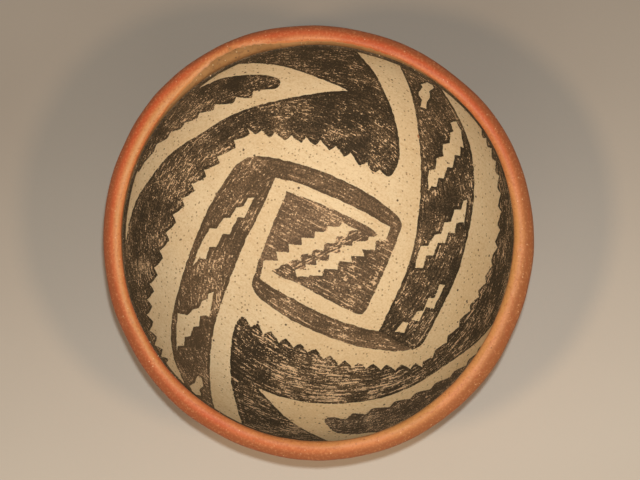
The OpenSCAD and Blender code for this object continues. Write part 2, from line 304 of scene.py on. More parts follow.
# Ripples and least height of the line round the foot where the red has worn away
FOOT_RIPPLES = [(0.45, 0.5), (0.25, 0.1)]
FOOT_LEAST = 0.35
# How far over the lip the red reaches, as an angle on the lip's circle, and where it stops short of that:
# (degrees, from where to where round the bowl it begins, from where to where it ends)
RED_REACH = 185.0
RED_SHORT = [(30, (0, 50), (150, 230)), (35, (35, 85), (126, 150)), (42, (98, 114), (117, 134))]
# Ripples of that end in degrees, and their share: at least, and for each degree that the red stops short
RED_RAGGED = [(4, 0.12), (3, 0.035)]
RAGGED_LEAST, RAGGED_MORE = 0.3, 0.01
# Where painted shade darkens the lip on its outer side, as an angle on its circle: the middle and swings
# round the bowl
PAINTED_SHADE_FROM = 63.0
PAINTED_SHADE_SWINGS = [(10, 1, -59), (7.7, 2, 23), (4.8, 3, -38)]
# Angles about that place between which the painted shade sets in and the red turns deep
PAINTED_SHADE_EASE = (17, -17)
DEEP_EASE = (45, 12)
# How much of the painted shade is lost further down the wall, and over which height
PAINTED_SHADE_LOST, PAINTED_SHADE_LOST_H = 0.45, 18
# Side of the bowl that the red is paler on, and share and width of the paler clouds
PALE_SIDE = -45.0
PALE_CLOUDS = [(0.25, 60)]
# Where a side of the bowl begins and is reached in full: 0 is opposite its middle, 1 is its middle
SIDE_EASE = (0.5, 0.9)
# How much the pale takes from the deep red
PALE_OVER_DEEP = 0.75
# Where the crest of the lip is rubbed pale, partly as a painted highlight: angle on the lip's circle, least
# angle from the red's end there, width of the band, and side of the bowl
CREST_AT = 99.0
CREST_INSET = 12.0
CREST_WIDE = 27.0
CREST_SIDE = 165.0
# Lengths from the red's end on the lip and from the foot over which it is worn
LIP_WORN = 0.9
FOOT_WORN = 5.0
# Chips of the lip: (angle round the bowl, angle on the lip's circle, width, depth), and the height
# above which they show
CHIPS = [(114.5, 62, 2.2, 0.5), (111.0, 80, 1.6, 0.35), (-2.5, 95, 1.6, 0.3), (33.0, 118, 1.4, 0.25),
         (203.0, 100, 1.3, 0.25), (252.0, 75, 1.5, 0.3), (318.0, 88, 1.2, 0.2)]
CHIPS_ABOVE = LIP_Z - 1


def red_reach(degrees):
    """Where the red ends on the inner side of the lip, in degrees on the lip's circle"""
    short = sum(size * ease(*rise, degrees) * (1 - ease(*fall, degrees)) for size, rise, fall in RED_SHORT)
    ragged = ripples(ring_points(degrees), RED_RAGGED, SEED_RED)
    return RED_REACH - short + ragged * (RAGGED_LEAST + RAGGED_MORE * short)


def red_face(lip_radius, sphere_r, foot, reach):
    """Sections of one face of the red coat, from the worn foot up over the lip"""
    meet = lip_meets(lip_radius, OUTER_Z, sphere_r, *OUTER_MEET)
    top = lip_arc(lip_radius, meet, meet, 2)[0, 1]
    wall = sphere_arc(OUTER_Z, sphere_r, foot, np.full(SKIN_TURNS, top), SKIN_STEPS)
    lip = lip_arc(lip_radius, np.full(SKIN_TURNS, meet), reach, LIP_STEPS)
    return np.concatenate([wall, lip[:, 1:]], 1)


def chip(outer, degrees, lip_angle):
    """Sinks the chips of the lip into the outer face, and says how much each point is chipped"""
    chipped = np.zeros(outer.shape[:2])
    for at, up, wide, deep in CHIPS:
        along = np.radians((degrees[:, None] - at + 180) % 360 - 180) * MID_R
        across = np.radians(lip_angle - up) * LIP_R
        dent = np.exp(-(np.hypot(along, across) / (0.5 * wide)) ** 2) * (outer[..., 1] > CHIPS_ABOVE)
        outer += (np.array([MID_R, LIP_Z]) - outer) / LIP_R * (dent * deep)[..., None]
        chipped = np.maximum(chipped, dent)
    return chipped


def on_side(degrees, middle):
    """1 on one side of the bowl and 0 on the other"""
    return ease(*SIDE_EASE, 0.5 + 0.5 * np.cos(np.radians(degrees - middle)))


def red_faces(degrees, reach):
    """Sections of the red coat's outer and inner face, thinned at both ends, and the length up them"""
    foot = WORN_H + ripples(ring_points(degrees), FOOT_RIPPLES, SEED_RED + 2)
    foot = np.maximum(foot, FOOT_LEAST)
    outer = red_face(LIP_R, OUTER_R, foot, reach)
    inner = red_face(CLAY_LIP_R, CLAY_OUT_R, foot, reach)
    steps = np.linalg.norm(np.diff(outer, axis=1), axis=2)
    along = np.concatenate([np.zeros((SKIN_TURNS, 1)), np.cumsum(steps, 1)], 1)
    share = THIN + (1 - THIN) * ease(0, FEATHER, np.minimum(along, along[:, -1:] - along))
    return inner + (outer - inner) * share[..., None], inner, along


def red_wear(outer, degrees, lip_angle, along):
    """Chips the outer face, and says how worn it is: at the chips, at its end on the lip and at the foot"""
    wear = chip(outer, degrees, lip_angle)
    wear = np.maximum(wear, 1 - ease(0, LIP_WORN, along[:, -1:] - along))
    return np.maximum(wear, 1 - ease(0, FOOT_WORN, along))


def red_tones(degrees, reach, lip_angle, height):
    """How much painted shade, how deep and how much rubbed pale (partly a painted highlight) the red is over
    the outer face
    """
    past_shade_line = lip_angle - PAINTED_SHADE_FROM - swing(np.radians(degrees), PAINTED_SHADE_SWINGS)[:, None]
    dark = ease(*PAINTED_SHADE_EASE, past_shade_line) * (1 - PAINTED_SHADE_LOST * ease(LIP_Z, LIP_Z - PAINTED_SHADE_LOST_H, height))
    crest_at = np.minimum(CREST_AT, reach - CREST_INSET)[:, None]
    crest = np.exp(-((lip_angle - crest_at) / CREST_WIDE) ** 2) * on_side(degrees, CREST_SIDE)[:, None]
    return dark, ease(*DEEP_EASE, past_shade_line), crest


def red_skin(material):
    """The red coat, from the worn foot up over the lip"""
    degrees = round_degrees(SKIN_TURNS)
    reach = red_reach(degrees)
    outer, inner, along = red_faces(degrees, reach)
    lip_angle = np.degrees(np.arctan2(outer[..., 1] - LIP_Z, outer[..., 0] - MID_R))
    wear = red_wear(outer, degrees, lip_angle, along)
    dark, deep, crest = red_tones(degrees, reach, lip_angle, outer[..., 1])
    points, faces, used = revolve(np.concatenate([outer, inner[:, ::-1]], 1), True)
    pale = np.broadcast_to(on_side(degrees, PALE_SIDE)[:, None], along.shape)
    tone = on_both_faces(pale, used) + ripples(points, PALE_CLOUDS, SEED_RED + 4)
    # The crest is paled like the pale side: partly wear, partly a painted highlight
    tone = np.clip(np.maximum(tone, on_both_faces(crest, used)), 0, 1)
    flank = on_both_faces(deep, used) * (1 - PALE_OVER_DEEP * tone)
    round_lip = np.repeat(np.radians(degrees)[:, None] * MID_R, outer.shape[1], 1)
    skin = np.stack([round_lip, along, np.zeros_like(along)], -1)
    # The "outside" attribute carries the painted shade on the outer side of the lip and, fainter, on the wall
    # below
    make_piece("red_outer_slip_coat", "red_outer_slip", material, points, faces,
               {"skin": on_both_faces(skin, used), "wear": on_both_faces(wear, used), "tone": tone,
                "outside": on_both_faces(dark, used), "flank": flank})


# Cream slip

# Steps round the bowl and up the inside, and ripples of the upper end
CREAM_TURNS = 420
CREAM_STEPS = 120
CREAM_RIPPLES = [(0.2, 0.3), (0.1, 0.05)]


def cream_skin(material):
    """The cream coat over the inside of the wall"""
    ring = ring_points(round_degrees(CREAM_TURNS))
    top = WHITE_TOP - LINE_MARGIN + ripples(ring, CREAM_RIPPLES, SEED_CREAM)
    low = np.full(CREAM_TURNS, INNER_Z)
    face = sphere_arc(INNER_Z, INNER_R, low - INNER_R, top, CREAM_STEPS)
    back = sphere_arc(INNER_Z, CLAY_IN_R, low - CLAY_IN_R, top, CREAM_STEPS)
    to_end = np.hypot(*np.moveaxis(face - face[:, -1:], -1, 0))
    share = THIN + (1 - THIN) * ease(0, FEATHER / 2, to_end)
    face = back + (face - back) * share[..., None]
    face[:, 0, 0] = back[:, 0, 0] = 0
    points, faces, _ = revolve(np.concatenate([face, back[:, ::-1]], 1), False)
    make_piece("white_inner_slip_coat", "white_inner_slip", material, points, faces, {})


# Paint

# Spacing of points along an outline and within it, and the least number of them along one
OUTLINE_STEP = 0.4
GRID_STEP = 1.3
OUTLINE_LEAST = 8
# Unsteadiness of the brush along an edge: size and length in millimetres, and how far the paint spreads
EDGE_SWINGS = [(0.16, 5.0), (0.09, 1.1)]
SPREAD = 0.08
# How far an end that meets the rim line is tucked under it, and how far from the line this begins and ends
TUCK = 0.9
TUCK_FROM, TUCK_TO = 1.2, 0.2
# How often the outline is smoothed, where that is more than once
ROUNDING = {"northwest_rim_field": 7, "southeast_rim_field": 7}
# How much the teeth are drawn out, the number of smoothings they stand out from, and the most in millimetres
KEEN = {"north_serrated_wing": 0.7, "south_serrated_wing": 0.9, "northwest_step_panel": 0.8,
        "southeast_step_panel": 0.8, "centre_zigzag": 0.9, "west_lightning_band": 0.5,
        "east_lightning_band": 0.5}
KEEN_OVER = 12
KEEN_MOST = 0.6
# How high the paint stands at its edge and further in, the width of the rise between, and the steps by which
# fields that meet differ
EDGE_LIFT = 0.03
FULL_LIFT = 0.12
ROUND_OFF = 0.8
LAYERS, LAYER_STEP = 3, 0.01
# How far the back of the paint lies in the slip
SINK = 0.07
# The outer face of the films in the part, and how near to it a point belongs to that face
FILM_R = INNER_R - PAINT_T
FILM_NEAR = 0.03
# Length over the inside from the middle to the rim line
LINE_ARC = INNER_R * math.acos((INNER_Z - LINE_BOTTOM) / INNER_R)

# How each field was brushed: round a middle, or along a line at an angle in degrees. Middles are in
# units of the design, +X to the right and +Y up.
STROKES = {
    "north_bar": (-49, -79), "south_bar": (47, 76),
    "north_serrated_wing": (-25, 4), "south_serrated_wing": (11, 20),
    "west_lightning_band": (20, -25), "east_lightning_band": (-20, 25),
    "northwest_step_panel": -28, "southeast_step_panel": -28, "centre_zigzag": 25,
    "northwest_rim_field": (0, 0), "southeast_rim_field": (0, 0),
}

# Places where the paint is rubbed thin, and places where it lies thick: place seen from above and reach
# in millimetres, and how much
RUBBED_THIN = [(-50, 42, 14, 0.6), (-15, 44, 11, 1.3), (2, -58, 18, 1.4), (33, 0, 11, 1.2),
               (36, 48, 9, 0.4), (8, -44, 10, 0.7)]
LEFT_THICK = [(4, 73, 20, 1.3), (10, 47, 11, 1.0), (-32, 64, 11, 1.2), (-29, -42, 9, 1.3),
              (-21, -72, 13, 1.2), (18, -6, 9, 0.9), (-44, 12, 9, 0.9), (47, -6, 9, 0.8), (60, 28, 13, 0.6),
              # The spot at (-50, -43) darkens the lower end of the west band, partly for thicker paint and
              # partly as painted shade on that wall
              (-50, -43, 9, 0.9), (47, 47, 8, 0.6), (64, -26, 11, 1.0), (73, 20, 8, 1.2)]


def spots(plan, places):
    """Sum of soft round spots at points seen from above"""
    return sum(much * np.exp(-((plan - [x, y]) ** 2).sum(1) / reach ** 2) for x, y, reach, much in places)


def to_chart(plan):
    """Points seen from above to points of the inside rolled out flat from its middle"""
    away = np.maximum(np.hypot(plan[:, 0], plan[:, 1]), TINY)
    return plan * (INNER_R * np.arcsin(np.minimum(away / FILM_R, 1)) / away)[:, None]


def from_chart(chart, lift):
    """Points of the rolled-out inside back to the bowl, lifted off its surface"""
    away = np.maximum(np.hypot(chart[:, 0], chart[:, 1]), TINY)
    phi, radius = away / INNER_R, INNER_R - lift
    flat = chart * (radius * np.sin(phi) / away)[:, None]
    return np.column_stack([flat, INNER_Z - radius * np.cos(phi)])


def film_loops(node, merge=0.001):
    """Closed outlines of a painted film seen from above, with the paint on the left"""
    at = node_points(node)
    whole = np.round(at / merge).astype(int)
    _, first, merged = np.unique(whole, axis=0, return_index=True, return_inverse=True)
    merged = merged.ravel()
    face = np.abs(np.linalg.norm(at - [0, 0, INNER_Z], axis=1) - FILM_R) < FILM_NEAR
    edges = set()
    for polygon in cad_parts[node].data.polygons:
        corners = list(polygon.vertices)
        if face[corners].all():
            ids = merged[corners].tolist()
            edges.update(zip(ids, ids[1:] + ids[:1]))
    following = {a: b for a, b in sorted(edges) if (b, a) not in edges}
    loops = []
    while following:
        start, ahead = following.popitem()
        loop = [start]
        while ahead != start:
            loop.append(ahead)
            ahead = following.pop(ahead)
        loops.append(at[first[loop], :2])
    return loops


def resample(loop, step):
    """Even points along a closed outline"""
    closed = np.concatenate([loop, loop[:1]])
    along = np.concatenate([[0], np.cumsum(np.linalg.norm(np.diff(closed, axis=0), axis=1))])
    wanted = np.linspace(0, along[-1], max(OUTLINE_LEAST, int(along[-1] / step)), endpoint=False)
    return np.stack([np.interp(wanted, along, closed[:, k]) for k in (0, 1)], 1)


def smoothed(loop, times):
    """A closed outline with its corners rounded"""
    for _ in range(times):
        loop = (np.roll(loop, 1, 0) + 2 * loop + np.roll(loop, -1, 0)) / 4
    return loop


def brushed(loop, rounding, keen):
    """An outline as a brush leaves it: teeth drawn out, unsteady edge, ends tucked under the rim line"""
    loop = resample(to_chart(loop), OUTLINE_STEP)
    drawn = keen * (loop - smoothed(loop, KEEN_OVER))
    drawn *= np.minimum(1, KEEN_MOST / np.maximum(np.linalg.norm(drawn, axis=1), TINY))[:, None]
    loop = smoothed(loop + drawn, rounding)
    way = np.roll(loop, -1, 0) - np.roll(loop, 1, 0)
    out = np.stack([way[:, 1], -way[:, 0]], 1) / np.linalg.norm(way, axis=1)[:, None]
    loop = loop + out * SPREAD
    for k, (size, length) in enumerate(EDGE_SWINGS):
        seed = SEED_EDGE + 2 * k
        loop = loop + size * np.stack([waves(loop, length, seed), waves(loop, length, seed + 1)], 1)
    away = np.hypot(loop[:, 0], loop[:, 1])
    tuck = TUCK * ease(LINE_ARC - TUCK_FROM, LINE_ARC - TUCK_TO, away)
    return loop * (1 + tuck / away)[:, None]


def inside(points, loops):
    """Which points lie within the outlines"""
    hit = np.zeros(len(points), bool)
    for loop in loops:
        for (ax, ay), (bx, by) in zip(loop, np.roll(loop, -1, 0)):
            if ay != by:
                spans = (ay > points[:, 1]) != (by > points[:, 1])
                hit ^= spans & (points[:, 0] < ax + (points[:, 1] - ay) * (bx - ax) / (by - ay))
    return hit


def edge_distance(points, loops):
    """Distance of points from the nearest outline"""
    edge = np.concatenate(loops)
    tree = KDTree(len(edge))
    for k, (x, y) in enumerate(edge):
        tree.insert((x, y, 0), k)
    tree.balance()
    return np.array([tree.find((x, y, 0))[2] for x, y in points])


def inner_grid(loops, row_share=0.87):
    """Points in staggered rows within the outlines, clear of them"""
    low = np.concatenate(loops).min(0)
    high = np.concatenate(loops).max(0)
    rows = np.arange(low[1], high[1], GRID_STEP * row_share)
    columns = np.arange(low[0], high[0], GRID_STEP)
    grid = np.array([(x + GRID_STEP / 2 * (k % 2), y) for k, y in enumerate(rows) for x in columns])
    grid = grid[inside(grid, loops)]
    return grid[edge_distance(grid, loops) > GRID_STEP / 2]


def fill(loops, merge=1e-4):
    """Points and triangles of a painted field, with the distance of each point from the edge"""
    edges, start = [], 0
    for loop in loops:
        ids = list(range(start, start + len(loop)))
        edges += zip(ids, ids[1:] + ids[:1])
        start += len(loop)
    places = [Vector(p) for p in np.concatenate(loops + [inner_grid(loops)])]
    made = delaunay_2d_cdt(places, edges, [], 0, merge)
    points = np.array([tuple(p) for p in made[0]])
    triangles = np.array([tuple(t) for t in made[2]])
    triangles = triangles[inside(points[triangles].mean(1), loops)]
    used, triangles = np.unique(triangles, return_inverse=True)
    return points[used], triangles.reshape(-1, 3), edge_distance(points[used], loops)


def stroke_of(node, chart, edge):
    """Distance along the brush's way, across it, and from the edge of the paint"""
    way = STROKES[node]
    if isinstance(way, tuple):
        off = chart - to_chart(np.array([way]) * UNIT)
        across = np.hypot(off[:, 0], off[:, 1])
        turned = np.arctan2(off[:, 1], off[:, 0]) - math.atan2(off[:, 1].mean(), off[:, 0].mean())
        along = ((turned + math.pi) % TAU - math.pi) * across.mean()
    else:
        turn = math.radians(way)
        along = chart @ [math.cos(turn), math.sin(turn)]
        across = chart @ [-math.sin(turn), math.cos(turn)]
    return np.column_stack([along, across, edge])


def film(node, material, order):
    """A painted field as a thin closed film that thins out to its edge"""
    loops = [brushed(loop, ROUNDING.get(node, 1), KEEN.get(node, 0)) for loop in film_loops(node)]
    chart, triangles, edge = fill(loops)
    lift = EDGE_LIFT + (FULL_LIFT - EDGE_LIFT) * ease(0, ROUND_OFF, edge) + LAYER_STEP * (order % LAYERS)
    points = np.concatenate([from_chart(chart, lift), from_chart(chart, np.full(len(chart), -SINK))])
    count = len(chart)
    faces = triangles.tolist() + (triangles[:, ::-1] + count).tolist()
    sides = {(a, b) for t in triangles.tolist() for a, b in zip(t, t[1:] + t[:1])}
    faces += [(b, a, a + count, b + count) for a, b in sorted(sides) if (b, a) not in sides]
    stroke = np.tile(stroke_of(node, chart, edge), (2, 1))
    rub = spots(points[:, :2], RUBBED_THIN) - spots(points[:, :2], LEFT_THICK)
    make_piece(node + "_paint", node, material, points, faces, {"stroke": stroke, "rub": rub})


# Steps round the bowl and across the rim line, and ripples of its upper and lower edge
LINE_TURNS = 720
LINE_STEPS = 9
LINE_TOP_RIPPLES = [(0.2, 0.4), (0.1, 0.05)]
LINE_LOW_RIPPLES = [(0.25, 0.3), (0.12, 0.05)]
# How far the rim line stands over the fields that end under it
LINE_OVER = 0.03
# How far its upper edge reaches past the slip into the clay, and from which share of its width
LINE_ROOT = 0.05
ROOT_FROM = 0.6


def rim_line(material):
    """The black line round the inside under the lip"""
    degrees = round_degrees(LINE_TURNS)
    ring = ring_points(degrees)
    top = WHITE_TOP + ripples(ring, LINE_TOP_RIPPLES, SEED_LINE)
    bottom = LINE_BOTTOM + ripples(ring, LINE_LOW_RIPPLES, SEED_LINE + 2)
    face = sphere_arc(INNER_Z, INNER_R, bottom, top, LINE_STEPS)
    span = np.linspace(0, 1, LINE_STEPS)
    edge = np.minimum(span, 1 - span) * RIM_LINE_W
    lift = EDGE_LIFT + (FULL_LIFT + LINE_OVER - EDGE_LIFT) * ease(0, ROUND_OFF, edge)
    root = SINK + (SLIP_T + LINE_ROOT - SINK) * ease(ROOT_FROM, 1.0, span)
    away = (face - [0, INNER_Z]) / INNER_R
    front = face - away * lift[:, None]
    back = face + away * root[:, None]
    points, faces, used = revolve(np.concatenate([front, back[:, ::-1]], 1), True)
    stroke = np.stack([np.repeat(np.radians(degrees)[:, None] * FIELD_R, LINE_STEPS, 1), face[..., 1],
                       np.broadcast_to(edge, face.shape[:2])], -1)
    make_piece("rim_line_paint", "rim_line", material, points, faces,
               {"stroke": on_both_faces(stroke, used)})


# Materials

def rgb(red, green, blue):
    """A colour as it looks on a screen, 0 to 255, for a shader"""
    parts = [c / 255 for c in (red, green, blue)]
    return tuple(c / 12.92 if c <= 0.04045 else ((c + 0.055) / 1.055) ** 2.4 for c in parts) + (1.0,)


# Share of a speck's radius within which it has its full colour
SPECK_CORE = 0.75


class Surface:
    """A procedural material while it is put together"""

    def __init__(self, name, roughness, specular):
        self.material = bpy.data.materials.new(name)
        self.material.use_nodes = True
        self.tree = self.material.node_tree
        self.shader = self.tree.nodes["Principled BSDF"]
        self.shader.inputs["Roughness"].default_value = roughness
        self.shader.inputs["Specular IOR Level"].default_value = specular

    def feed(self, socket, value):
        """Links a value to a socket, or sets it there if it is a constant"""
        if isinstance(value, bpy.types.NodeSocket):
            self.tree.links.new(value, socket)
        else:
            socket.default_value = value

    def node(self, kind, inputs, **settings):
        """A shader node with its inputs fed"""
        made = self.tree.nodes.new("ShaderNode" + kind)
        for key, value in settings.items():
            setattr(made, key, value)
        for key, value in inputs.items():
            self.feed(made.inputs[key], value)
        return made

    def place(self):
        """Position on the bowl in millimetres"""
        at = self.node("TexCoord", {}).outputs["Object"]
        return self.stretch(at, (1 / MM, 1 / MM, 1 / MM))

    def attribute(self, name, output):
        """An attribute of the mesh"""
        return self.node("Attribute", {}, attribute_name=name).outputs[output]

    def stretch(self, vector, scale):
        """A vector times a factor on each axis"""
        return self.node("VectorMath", {0: vector, 1: scale}, operation="MULTIPLY").outputs[0]

    def turn(self, vector, degrees):
        """A vector turned about the bowl's axis"""
        inputs = {"Vector": vector, "Angle": math.radians(degrees)}
        return self.node("VectorRotate", inputs, rotation_type="Z_AXIS").outputs[0]

    def noise(self, vector, size, detail=2.0, roughness=0.5):
        """Cloudy values about 0.5, with lumps about size across"""
        inputs = {"Vector": vector, "Scale": 1 / size, "Detail": detail, "Roughness": roughness}
        return self.node("TexNoise", inputs).outputs[0]

    def step(self, value, low, high):
        """Smooth step from 0 at low to 1 at high"""
        return self.node("MapRange", {"Value": value, "From Min": low, "From Max": high},
                         interpolation_type="SMOOTHSTEP").outputs[0]

    def maths(self, operation, a, b):
        """One operation on two values"""
        return self.node("Math", {0: a, 1: b}, operation=operation).outputs[0]

    def total(self, *weighted):
        """Sum of values, each times its weight"""
        out = 0.0
        for value, weight in weighted:
            out = self.node("Math", {0: value, 1: weight, 2: out}, operation="MULTIPLY_ADD").outputs[0]
        return out

    def mix(self, share, a, b):
        """Colour a with a share of colour b"""
        return self.node("Mix", {0: share, 6: a, 7: b}, data_type="RGBA", blend_type="MIX").outputs[2]

    def tint(self, base, mask, strength, colour):
        """The base colour, with another one over it as strong as this where the mask is 1"""
        return self.mix(self.maths("MULTIPLY", mask, strength), base, colour)

    def axis(self, vector, name):
        """One coordinate of a vector"""
        return self.node("SeparateXYZ", {0: vector}).outputs[name]

    def specks(self, vector, spacing, radius, share, gather=0.0):
        """Round specks, in a share of the cells of a scatter, more of them where gather is above 0"""
        cells = self.node("TexVoronoi", {"Vector": vector, "Scale": 1 / spacing})
        drawn = self.maths("ADD", self.axis(cells.outputs["Color"], "X"), gather)
        chosen = self.maths("GREATER_THAN", drawn, 1 - share)
        reach = radius / spacing
        dot = self.step(cells.outputs["Distance"], reach, reach * SPECK_CORE)
        return self.maths("MULTIPLY", dot, chosen)

    def bump(self, height, distance):
        """Relief as deep as distance in millimetres"""
        made = self.node("Bump", {"Height": height, "Distance": distance * MM, "Strength": 1.0})
        self.tree.links.new(made.outputs[0], self.shader.inputs["Normal"])

    def colour(self, value):
        """Sets the colour"""
        self.feed(self.shader.inputs["Base Color"], value)

    def roughness(self, value, low, high):
        """Spreads the roughness between two values"""
        spread = self.node("MapRange", {"Value": value, "To Min": low, "To Max": high}).outputs[0]
        self.feed(self.shader.inputs["Roughness"], spread)


# Angle of the polishing strokes on the cream, and how they are drawn out
CREAM_STROKES = 32
CREAM_DRAWN = (0.06, 1.1, 0.4)
# Where the cream turns tan, partly the slip's own tone and partly a painted warm light cast: weights of X, Y
# and clouds, and from where to where their sum counts
TAN_AND_WARM_LIGHT_SIDE = (0.5, -0.87, 20.0)
TAN_AND_WARM_LIGHT_FROM = (10, 80)
# How the polishing strokes on the red are drawn out along the lip
RED_DRAWN = (0.06, 0.8, 1)
# How the marks of the bristles and the dashes between them are drawn out along the brush's way
BRISTLE_DRAWN = (0.05, 0.9, 1)
DASH_DRAWN = (0.24, 1.5, 1)
# Distances from the edge of a painted field: end of the outline that was painted first, both sides of the
# thin place between that outline and the fill, and the drier strip at the very edge
OUTLINE_END = (1.9, 0.9)
BETWEEN_FROM, BETWEEN_TO = (1.3, 1.8), (2.6, 2.1)
DRY_EDGE = (0.5, 0.0)
# Cream flecks in the paint: spacing and radius in millimetres, share, and how drawn out along the brush
FLECKS = [(0.9, 0.31, 0.17, 1.2), (1.6, 0.4, 0.12, 2.4)]
# Dark and pale tone of each field's paint, and how streaked, how flecked and how outlined it is
BLACK, THIN_BLACK = (53, 44, 31), (122, 99, 73)
BROWN, THIN_BROWN = (82, 66, 47), (144, 116, 87)
PALE_BROWN, THIN_PALE = (93, 74, 54), (156, 126, 95)
GREY_BLACK, THIN_GREY = (61, 50, 37), (116, 95, 73)
PAINT_LOOKS = {
    "rim_line": (BLACK, THIN_BLACK, 0.0, -0.14, 0.0),
    "north_bar": (BROWN, THIN_BROWN, 0.2, 0.0, 1.0), "south_bar": (BROWN, THIN_BROWN, 0.5, 0.03, 1.0),
    "north_serrated_wing": (BLACK, THIN_BLACK, 0.4, 0.05, 0.7),
    "south_serrated_wing": (BLACK, THIN_BLACK, 0.9, 0.075, 0.7),
    "west_lightning_band": (BROWN, THIN_BROWN, 0.3, 0.04, 1.0),
    "east_lightning_band": (BLACK, THIN_BLACK, 0.4, 0.03, 1.0),
    "northwest_step_panel": (PALE_BROWN, THIN_PALE, 0.7, 0.035, 0.6),
    "southeast_step_panel": (BROWN, THIN_BROWN, 0.7, 0.06, 0.6),
    "centre_zigzag": (PALE_BROWN, THIN_PALE, 0.7, 0.15, 0.4),
    "northwest_rim_field": (BLACK, THIN_BLACK, 0.4, 0.05, 0.4),
    "southeast_rim_field": (GREY_BLACK, THIN_GREY, 0.1, 0.055, 0.3),
}


def clay_material():
    """Buff clay, scraped, with grit"""
    s = Surface("buff_clay", 0.85, 0.25)
    at = s.place()
    colour = s.mix(s.step(s.noise(at, 14, 3), 0.3, 0.7), rgb(146, 102, 58), rgb(168, 122, 74))
    colour = s.tint(colour, s.step(s.noise(at, 1.4, 3), 0.5, 0.7), 0.5, rgb(120, 82, 50))
    colour = s.tint(colour, s.specks(at, 1.6, 0.4, 0.2), 0.5, rgb(212, 178, 132))
    colour = s.tint(colour, s.specks(at, 2.3, 0.5, 0.3), 0.6, rgb(92, 66, 44))
    s.colour(colour)
    s.bump(s.maths("ADD", s.noise(at, 0.7, 3), s.specks(at, 1.6, 0.55, 0.4)), 0.12)
    return s.material


def cream_material():
    """Cream slip: polished by hand, with fine grit, a few rusty spots, and a tan side that is partly a
    painted warm light cast
    """
    s = Surface("cream_slip", 0.65, 0.2)
    at = s.place()
    colour = s.mix(s.step(s.noise(at, 26, 3), 0.3, 0.7), rgb(221, 194, 152), rgb(232, 208, 168))
    streak = s.noise(s.stretch(s.turn(at, CREAM_STROKES), CREAM_DRAWN), 1.0, 3, 0.6)
    colour = s.tint(colour, s.step(streak, 0.5, 0.7), 0.3, rgb(196, 160, 112))
    # Tan towards +X and -Y: partly the slip's own tone, partly a painted warm light cast
    by_x, by_y, by_cloud = TAN_AND_WARM_LIGHT_SIDE
    tan_and_warm_light_side = s.total((s.axis(at, "X"), by_x), (s.axis(at, "Y"), by_y), (s.noise(at, 30, 2), by_cloud))
    colour = s.tint(colour, s.step(tan_and_warm_light_side, *TAN_AND_WARM_LIGHT_FROM), 0.4, rgb(224, 182, 122))
    mottle = s.noise(at, 0.9, 3, 0.65)
    colour = s.tint(colour, s.step(mottle, 0.48, 0.7), 0.5, rgb(200, 164, 116))
    colour = s.tint(colour, s.step(mottle, 0.46, 0.3), 0.5, rgb(238, 216, 174))
    colour = s.tint(colour, s.specks(at, 1.5, 0.45, 0.35), 0.7, rgb(134, 98, 60))
    colour = s.tint(colour, s.specks(at, 4.2, 0.6, 0.35), 0.9, rgb(78, 56, 36))
    colour = s.tint(colour, s.specks(at, 13, 1.1, 0.16), 0.8, rgb(168, 92, 48))
    s.colour(colour)
    s.roughness(mottle, 0.55, 0.75)
    s.bump(s.maths("ADD", s.noise(at, 0.6, 3), s.maths("MULTIPLY", streak, 0.8)), 0.06)
    return s.material


def paint_material(name, dark, thin, streak, fleck, outline):
    """Black mineral paint: outlined, then filled, with thin and thick grains, dry streaks and cream flecks"""
    s = Surface(name, 0.65, 0.15)
    at = s.place()
    stroke = s.attribute("stroke", "Vector")
    edge = s.axis(stroke, "Z")
    rub = s.attribute("rub", "Fac")
    flat = s.stretch(stroke, (1, 1, 0))
    bristle = s.noise(s.stretch(flat, BRISTLE_DRAWN), 1.0, 3, 0.6)
    dash = s.noise(s.stretch(flat, DASH_DRAWN), 1.0, 2, 0.6)
    grain = s.noise(at, 0.7, 2, 0.6)
    patch = s.noise(at, 11, 3, 0.6)
    lined = s.step(edge, *OUTLINE_END)
    between = s.maths("MULTIPLY", s.step(edge, *BETWEEN_FROM), s.step(edge, *BETWEEN_TO))
    body = s.total((grain, 1.0), (bristle, 0.3 + 0.5 * streak), (patch, 0.6), (lined, -0.06 * outline),
                   (between, 0.05 * outline), (rub, 0.08))
    middle = 0.5 * (1.9 + 0.5 * streak)
    colour = s.mix(s.step(body, middle - 0.16, middle + 0.27), dark, thin)
    dry = s.total((grain, 0.4), (dash, 0.9), (bristle, 0.9 * streak), (patch, 0.4), (lined, -0.1 * outline),
                  (between, 0.08 * outline), (s.step(edge, *DRY_EDGE), 0.1), (rub, 0.035))
    bare_from = 0.5 * (1.7 + 0.9 * streak) + 0.17 - fleck
    bare = s.step(dry, bare_from, bare_from + 0.06)
    gather = s.total((patch, 2.4), (dash, 1.2), (lined, -0.2 * outline), (rub, 0.12), (1.0, -1.8))
    for spacing, radius, share, drawn_out in FLECKS:
        spread = s.stretch(stroke, (1 / drawn_out, 1, 0))
        bare = s.maths("MAXIMUM", bare, s.specks(spread, spacing, radius, share + fleck, gather))
    s.colour(s.mix(bare, colour, rgb(226, 192, 150)))
    s.roughness(bristle, 0.55, 0.75)
    s.bump(s.maths("SUBTRACT", s.maths("ADD", bristle, s.noise(at, 0.5, 2)), bare), 0.05)
    return s.material


